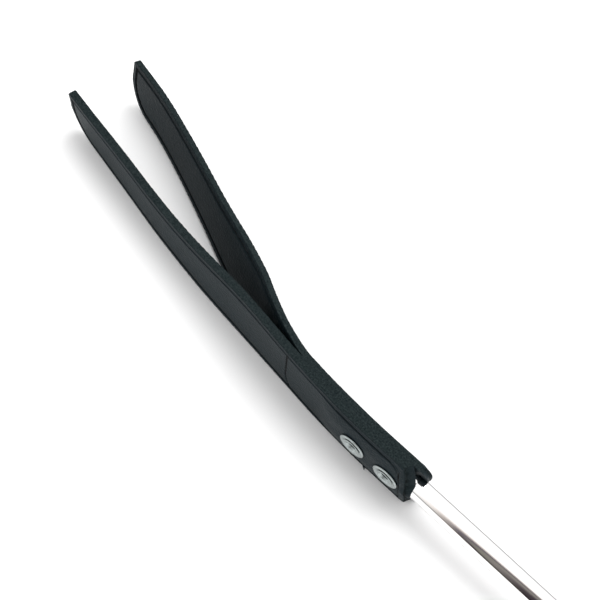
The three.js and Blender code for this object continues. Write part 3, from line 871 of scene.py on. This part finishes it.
def build_rivet(prefix):
    washer_low, washer_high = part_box(prefix + "_washer")
    tube_low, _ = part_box(prefix + "_tube")
    centre = ((washer_low.x + washer_high.x) / 2 / MM, 0, 0)
    face = washer_low.y / MM
    front = washer_high.y / MM
    back = tube_low.y / MM
    hole = SHANK_RADIUS + 0.2
    washer = turned_mesh(prefix + "_ring", [
        (hole, face), (HEAD_RADIUS - 0.2, face), (HEAD_RADIUS - 0.04, face + 0.06),
        (HEAD_RADIUS, face + 0.2), (HEAD_RADIUS - 0.06, front - 0.12), (HEAD_RADIUS - 0.25, front),
        (HEAD_RADIUS - 0.85, front), (HEAD_RADIUS - 1.0, front - 0.08), (3.1, front - 0.36),
        (hole, front - 0.38), (hole, face)], "Y", centre)
    lip = front - 0.12
    tube = turned_mesh(prefix + "_rolled_tube", [
        (0, back), (2.2, back + 0.05), (3.6, back + 0.25), (4.5, back + 0.6), (HEAD_RADIUS, back + 0.85),
        (HEAD_RADIUS - 0.05, back + 1.05), (HEAD_RADIUS - 0.4, back + 1.1), (SHANK_RADIUS, back + 1.1),
        (SHANK_RADIUS, lip - 0.1), (2.6, lip - 0.05), (2.9, lip + 0.06), (2.95, lip + 0.18),
        (2.8, lip + 0.28), (2.5, lip + 0.28), (2.25, lip + 0.12), (2.0, lip - 0.2), (1.75, lip - 0.7),
        (1.62, lip - 1.4), (1.55, lip - 2.4), (1.5, back + 2.2), (0.9, back + 1.9), (0, back + 1.8)],
        "Y", centre)
    for piece, node in ((washer, prefix + "_washer"), (tube, prefix + "_tube")):
        piece.data.materials.append(nickel)
        fix_to_handle(piece, "nickel", node)


for prefix in ("rivet_front", "rivet_rear"):
    build_rivet(prefix)

# %% [markdown]
# ## Grip
# The grip is a padded leather sleeve over a wooden core, between a ferrule and a butt cap. The sleeve
# is one piece of leather sewn along its length, so its surface has a shallow seam with a row of stitches.

# %% Grip leather and thread
def grip_leather_material():
    material, tree, shader = new_material("grip leather", roughness=0.52, specular=0.1)
    face_grain = placed_group(tree, grain, {"Pore Size": 0.0011, "Depth": 1.5})
    colour = mix_colours(tree, face_grain.outputs["Cloud"], (0.011, 0.011, 0.012), (0.024, 0.024, 0.026))
    tree.links.new(colour, shader.inputs["Base Color"])
    add_bump(tree, shader, face_grain.outputs["Height"], *LEATHER_BUMP)
    return material


def thread_material():
    material, tree, shader = new_material("waxed thread", roughness=0.6)
    twist = add_node(tree, "ShaderNodeTexWave",
                     {"Vector": object_place(tree), "Scale": 900.0, "Distortion": 1.0},
                     bands_direction="DIAGONAL")
    colour = mix_colours(tree, twist.outputs["Fac"], (0.03, 0.03, 0.032), (0.075, 0.073, 0.07))
    tree.links.new(colour, shader.inputs["Base Color"])
    return material


grip_leather = grip_leather_material()
thread = thread_material()

# %% Sleeve with a lengthwise seam
sleeve_low, sleeve_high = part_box("grip_sleeve")
SLEEVE_START, SLEEVE_END = sleeve_low.x / MM, sleeve_high.x / MM
SLEEVE_BORE = 10.0
SLEEVE_RADIUS = (12.4, sleeve_high.z / MM)      # at the ends and at the belly
SLEEVE_END_ROUNDING = (1.4, 1.6)                # depth and length
SEAM_ANGLE = math.radians(200)
SEAM_GROOVE = (0.45, 0.35)                      # depth and half width
SEAM_SWELLING = (0.1, 1.1, 0.6)                 # height, distance from the seam and half width
SLEEVE_SEGMENTS = 180


def sleeve_radius(share, angle=None):
    """Outside radius at a share of the length; an angle brings in the seam."""
    belly = math.sin(math.pi * share)
    radius = SLEEVE_RADIUS[0] + (SLEEVE_RADIUS[1] - SLEEVE_RADIUS[0]) * belly - 0.12
    turned_in = min(share, 1 - share) * (SLEEVE_END - SLEEVE_START)
    radius -= SLEEVE_END_ROUNDING[0] * max(0.0, 1 - turned_in / SLEEVE_END_ROUNDING[1])**2
    if angle is None:
        return radius
    away = abs((angle - SEAM_ANGLE + math.pi) % (2 * math.pi) - math.pi) * radius
    groove = SEAM_GROOVE[0] * math.exp(-(away / SEAM_GROOVE[1])**2)
    swelling = SEAM_SWELLING[0] * math.exp(-((away - SEAM_SWELLING[1]) / SEAM_SWELLING[2])**2)
    return radius - groove + swelling


def build_sleeve():
    angles = np.linspace(0, 2 * math.pi, SLEEVE_SEGMENTS, endpoint=False)
    near_seam = SEAM_ANGLE + np.linspace(-0.22, 0.22, 29)
    angles = np.unique(np.concatenate([angles[np.abs(angles - SEAM_ANGLE) > 0.24], near_seam]))
    shares = np.concatenate([np.linspace(0, 0.02, 8), np.linspace(0.03, 0.97, 90), np.linspace(0.98, 1, 8)])
    points = []
    for share in shares:
        x = SLEEVE_START + share * (SLEEVE_END - SLEEVE_START)
        for angle in angles:
            radius = sleeve_radius(share, angle)
            points.append((x, radius * math.cos(angle), radius * math.sin(angle)))
    for x in (SLEEVE_END, SLEEVE_START):
        points += [(x, SLEEVE_BORE * math.cos(a), SLEEVE_BORE * math.sin(a)) for a in angles]
    rings, count = len(shares) + 2, len(angles)
    faces = ring_faces(rings, count)
    last = (rings - 1) * count
    faces += [(last + k, last + (k + 1) % count, (k + 1) % count, k) for k in range(count)]
    piece = link_mesh("leather_sleeve", points, faces)
    face_outwards(piece)
    piece.data.materials.append(grip_leather)
    return piece


sleeve = build_sleeve()
fix_to_handle(sleeve, "grip_leather", "grip_sleeve")

# %% Stitches along the seam, by Geometry Nodes
def stitch_mesh():
    """One saddle stitch: a short thread that dives into the leather at both ends."""
    rows = 7
    points = []
    for row in range(rows):
        share = row / (rows - 1)
        lift = 0.18 * math.sin(math.pi * share) - 0.12
        thick = 0.32 * (0.55 + 0.45 * math.sin(math.pi * share))
        for k in range(6):
            angle = 2 * math.pi * k / 6
            points.append(((share - 0.5) * 2.4, thick * math.cos(angle), lift + thick * math.sin(angle)))
    faces = ring_faces(rows, 6)
    faces += [tuple(range(6)), tuple(range((rows - 1) * 6, rows * 6))[::-1]]
    piece = link_mesh("stitch", points, faces)
    face_outwards(piece)
    return piece


def seam_path(offset):
    """A polyline on the sleeve beside the seam; its vertices become the stitches' path."""
    points = []
    for share in np.linspace(0.03, 0.97, 60):
        radius = sleeve_radius(share) + 0.05
        angle = SEAM_ANGLE + offset / radius
        x = SLEEVE_START + share * (SLEEVE_END - SLEEVE_START)
        points.append((x, radius * math.cos(angle), radius * math.sin(angle)))
    mesh = bpy.data.meshes.new("seam path")
    links = [(k, k + 1) for k in range(len(points) - 1)]
    mesh.from_pydata([tuple(np.array(p) * MM) for p in points], links, [])
    return bpy.data.objects.new("seam path", mesh)


sewing, sewing_in, sewing_out, sewing_sockets = geometry_tree("stitches on a path", [
    ("Stitch", "NodeSocketObject"), ("Pitch", "NodeSocketFloat"), ("Upwards", "NodeSocketVector"),
    ("Material", "NodeSocketMaterial")])
path = add_node(sewing, "GeometryNodeMeshToCurve", {"Mesh": sewing_in.outputs["Geometry"]})
holes = add_node(sewing, "GeometryNodeResampleCurve",
                 {"Curve": path.outputs[0], "Length": sewing_in.outputs["Pitch"]}, mode="LENGTH")
tangent = add_node(sewing, "GeometryNodeInputTangent")
ahead = add_node(sewing, "FunctionNodeAlignRotationToVector", {"Vector": tangent.outputs[0]}, axis="X")
upright = add_node(sewing, "FunctionNodeAlignRotationToVector",
                   {"Rotation": ahead.outputs[0], "Vector": sewing_in.outputs["Upwards"]},
                   axis="Z", pivot_axis="X")
row = copies_at(sewing, holes.outputs[0], sewing_in.outputs["Stitch"], sewing_in.outputs["Material"],
                Rotation=upright.outputs[0])
sewing.links.new(row, sewing_out.inputs[0])

stitch = stitch_mesh()
STITCH_PITCH = 3.4
for name, offset in (("upper_stitches", 1.5), ("lower_stitches", -1.5)):
    outwards = (0.0, math.cos(SEAM_ANGLE), math.sin(SEAM_ANGLE))
    stitches = run_tree(name, seam_path(offset), sewing, sewing_sockets, {
        "Stitch": stitch, "Pitch": STITCH_PITCH * MM, "Upwards": outwards, "Material": thread})
    fix_to_handle(stitches, "grip_leather")
bpy.data.objects.remove(stitch)

# %% [markdown]
# ## Ferrule, collar, butt cap and core
# These are plain turned fittings. They follow the CAD profiles with more sides and softened corners.

# %% Build the fittings
cap_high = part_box("butt_cap")[1]
CAP_LENGTH, CAP_RADIUS = cap_high.x / MM, cap_high.z / MM
collar_low, collar_high = (p.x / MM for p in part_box("rear_collar"))
ferrule_low, ferrule_high = (p.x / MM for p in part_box("front_ferrule"))
BORE = ROD_RADIUS + 0.3

butt_cap = turned_mesh("domed_butt_cap", [
    (0, 0), (9.5, 0), (10.4, 0.15), (11.6, 0.7), (12.5, 1.35), (13.2, 2.2), (13.75, 3.3),
    (CAP_RADIUS, 4.8), (CAP_RADIUS, 9.2), (13.9, 10.4), (13.65, 11.4), (13.3, CAP_LENGTH),
    (BORE, CAP_LENGTH), (BORE, CAP_LENGTH - 6.3), (0, CAP_LENGTH - 6.3)])
collar = turned_mesh("bead_collar", [
    (BORE, collar_low), (12.9, collar_low), (13.25, collar_low + 0.3), (13.45, collar_low + 0.7),
    (13.5, collar_low + 1), (13.45, collar_low + 1.3), (13.25, collar_low + 1.7), (12.9, collar_high),
    (BORE, collar_high), (BORE, collar_low)])
taper = [(radius, ferrule_low + distance) for radius, distance in (
    (BORE, 0), (12.3, 0), (12.65, 0.2), (12.8, 0.7), (12.8, 3), (12.65, 3.5), (12.2, 3.8), (11.3, 4),
    (10.3, 5.6), (9.4, 7.3), (8.3, 9.1), (7.4, 10.4), (6.6, 12), (6.2, 13.4))]
ferrule = turned_mesh("tapered_ferrule", taper + [
    (6.2, ferrule_high - 0.6), (6.1, ferrule_high - 0.2), (5.8, ferrule_high), (BORE, ferrule_high),
    (BORE, ferrule_low)])
for piece, node in ((butt_cap, "butt_cap"), (collar, "rear_collar"), (ferrule, "front_ferrule")):
    piece.data.materials.append(polished_steel)
    fix_to_handle(piece, "polished_steel", node)

# %% Wood for the core, steel for its pin
def wood_material():
    material, tree, shader = new_material("turned wood", roughness=0.65)
    stretch = add_node(tree, "ShaderNodeMapping",
                       {"Vector": object_place(tree), "Scale": (12.0, 160.0, 160.0)})
    rings = noise_value(tree, Vector=stretch.outputs[0], Scale=2.0, Detail=6.0)
    colour = mix_colours(tree, rings, (0.20, 0.11, 0.05), (0.42, 0.27, 0.14))
    tree.links.new(colour, shader.inputs["Base Color"])
    return material


for node, material in (("grip_core", wood_material()), ("grip_pin", polished_steel)):
    for material_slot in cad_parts[node].material_slots:
        material_slot.link = "OBJECT"
        material_slot.material = material

# %% [markdown]
# ## Floor and light
# The object lies on a white sweep in a bright room: the floor is almost as bright as paper can be, one
# big soft light stands behind the leather, and the surroundings fill the shadows.

# %% Floor
FLOOR_HALF = 9000.0
corners = [(x * FLOOR_HALF, y * FLOOR_HALF, TABLE) for x, y in ((-1, -1), (1, -1), (1, 1), (-1, 1))]
floor = link_mesh("floor", corners, [(0, 1, 2, 3)], smooth=False)
floor_material, _, floor_shader = new_material("white sweep", roughness=0.9, specular=0.0)
floor_shader.inputs["Base Color"].default_value = (0.9, 0.9, 0.9, 1)
floor.data.materials.append(floor_material)

# %% Lights
def soft_light(name, place, aim, size, power):
    light_data = bpy.data.lights.new(name, "AREA")
    light_data.shape = "DISK"
    light_data.size = size
    light_data.energy = power
    light = bpy.data.objects.new(name, light_data)
    light.location = place
    light.rotation_euler = (Vector(aim) - Vector(place)).to_track_quat("-Z", "Y").to_euler()
    bpy.context.scene.collection.objects.link(light)


middle = Vector(((LEATHER + 60) * MM, 0, TABLE * MM))
KEY_ELEVATION = math.radians(66)
KEY_DISTANCE = 1.3               # metres
KEY_SIZE = 0.85
KEY_POWER = 11.0                 # watts
key_offset = Vector((0.0, -math.cos(KEY_ELEVATION), math.sin(KEY_ELEVATION))) * KEY_DISTANCE
soft_light("key", middle + key_offset, middle, KEY_SIZE, KEY_POWER)

# %% [markdown]
# ## Surroundings
# The rod is a mirror, so it needs a room to show. The room is white apart from a tall dark shape on the
# viewer's side, which gives the rod its brown and black streak. The shape is cut from the sky by one
# tilted plane, and a colour ramp softens its edge. A grey band along the horizon gives the ferrule, the
# butt cap and the rod an outline from every other side.

# %% World
DARK_SHAPE_FACES = (-0.962, 0.238, 0.116)     # normal of the plane that cuts the dark shape from the sky
ROOM_BRIGHTNESS = 1.2
WHITE = (1, 1, 1)


def colour_ramp(tree, value, stops):
    """Colours along a value; the first and last stops use the ramp's own two ends."""
    ramp = add_node(tree, "ShaderNodeValToRGB", {"Fac": value})
    elements = ramp.color_ramp.elements
    for end, (at, colour) in zip(elements, (stops[0], stops[-1])):
        end.position = at
        end.color = (*colour, 1)
    for at, colour in stops[1:-1]:
        elements.new(at).color = (*colour, 1)
    return ramp.outputs[0]


world = bpy.data.worlds.new("bright room")
world.use_nodes = True
sky = world.node_tree
direction = sky.nodes.new("ShaderNodeTexCoord").outputs["Generated"]
beyond = add_node(sky, "ShaderNodeVectorMath", {0: direction, 1: DARK_SHAPE_FACES},
                  operation="DOT_PRODUCT")
parts = add_node(sky, "ShaderNodeSeparateXYZ", {0: direction})
viewer_side = add_node(sky, "ShaderNodeMapRange", {"Value": parts.outputs["Y"], "From Min": 0.02,
                                                   "From Max": 0.12})
shape = colour_ramp(sky, beyond.outputs["Value"], [
    (0.208, WHITE), (0.232, (0.8, 0.76, 0.72)), (0.246, (0.45, 0.40, 0.37)), (0.256, (0.3, 0.27, 0.26)),
    (0.263, (0.10, 0.085, 0.11)), (0.288, (0.21, 0.20, 0.17)), (0.305, (0.21, 0.19, 0.18)),
    (0.337, (0.045, 0.035, 0.04)), (0.54, (0.12, 0.11, 0.11)), (0.62, WHITE)])
room = mix_colours(sky, viewer_side.outputs[0], WHITE, shape)
horizon = colour_ramp(sky, parts.outputs["Z"], [
    (at, (grey, grey, grey))
    for at, grey in ((0, 0.9), (0.06, 0.8), (0.11, 0.3), (0.2, 0.3), (0.28, 0.8), (0.5, 1))])
lit_room = add_node(sky, "ShaderNodeMix", {"Factor": 1.0, 6: room, 7: horizon},
                    data_type="RGBA", blend_type="MULTIPLY")
background = sky.nodes["Background"]
sky.links.new(lit_room.outputs[2], background.inputs["Color"])
background.inputs["Strength"].default_value = ROOM_BRIGHTNESS
bpy.context.scene.world = world
bpy.context.scene.view_settings.view_transform = "Standard"
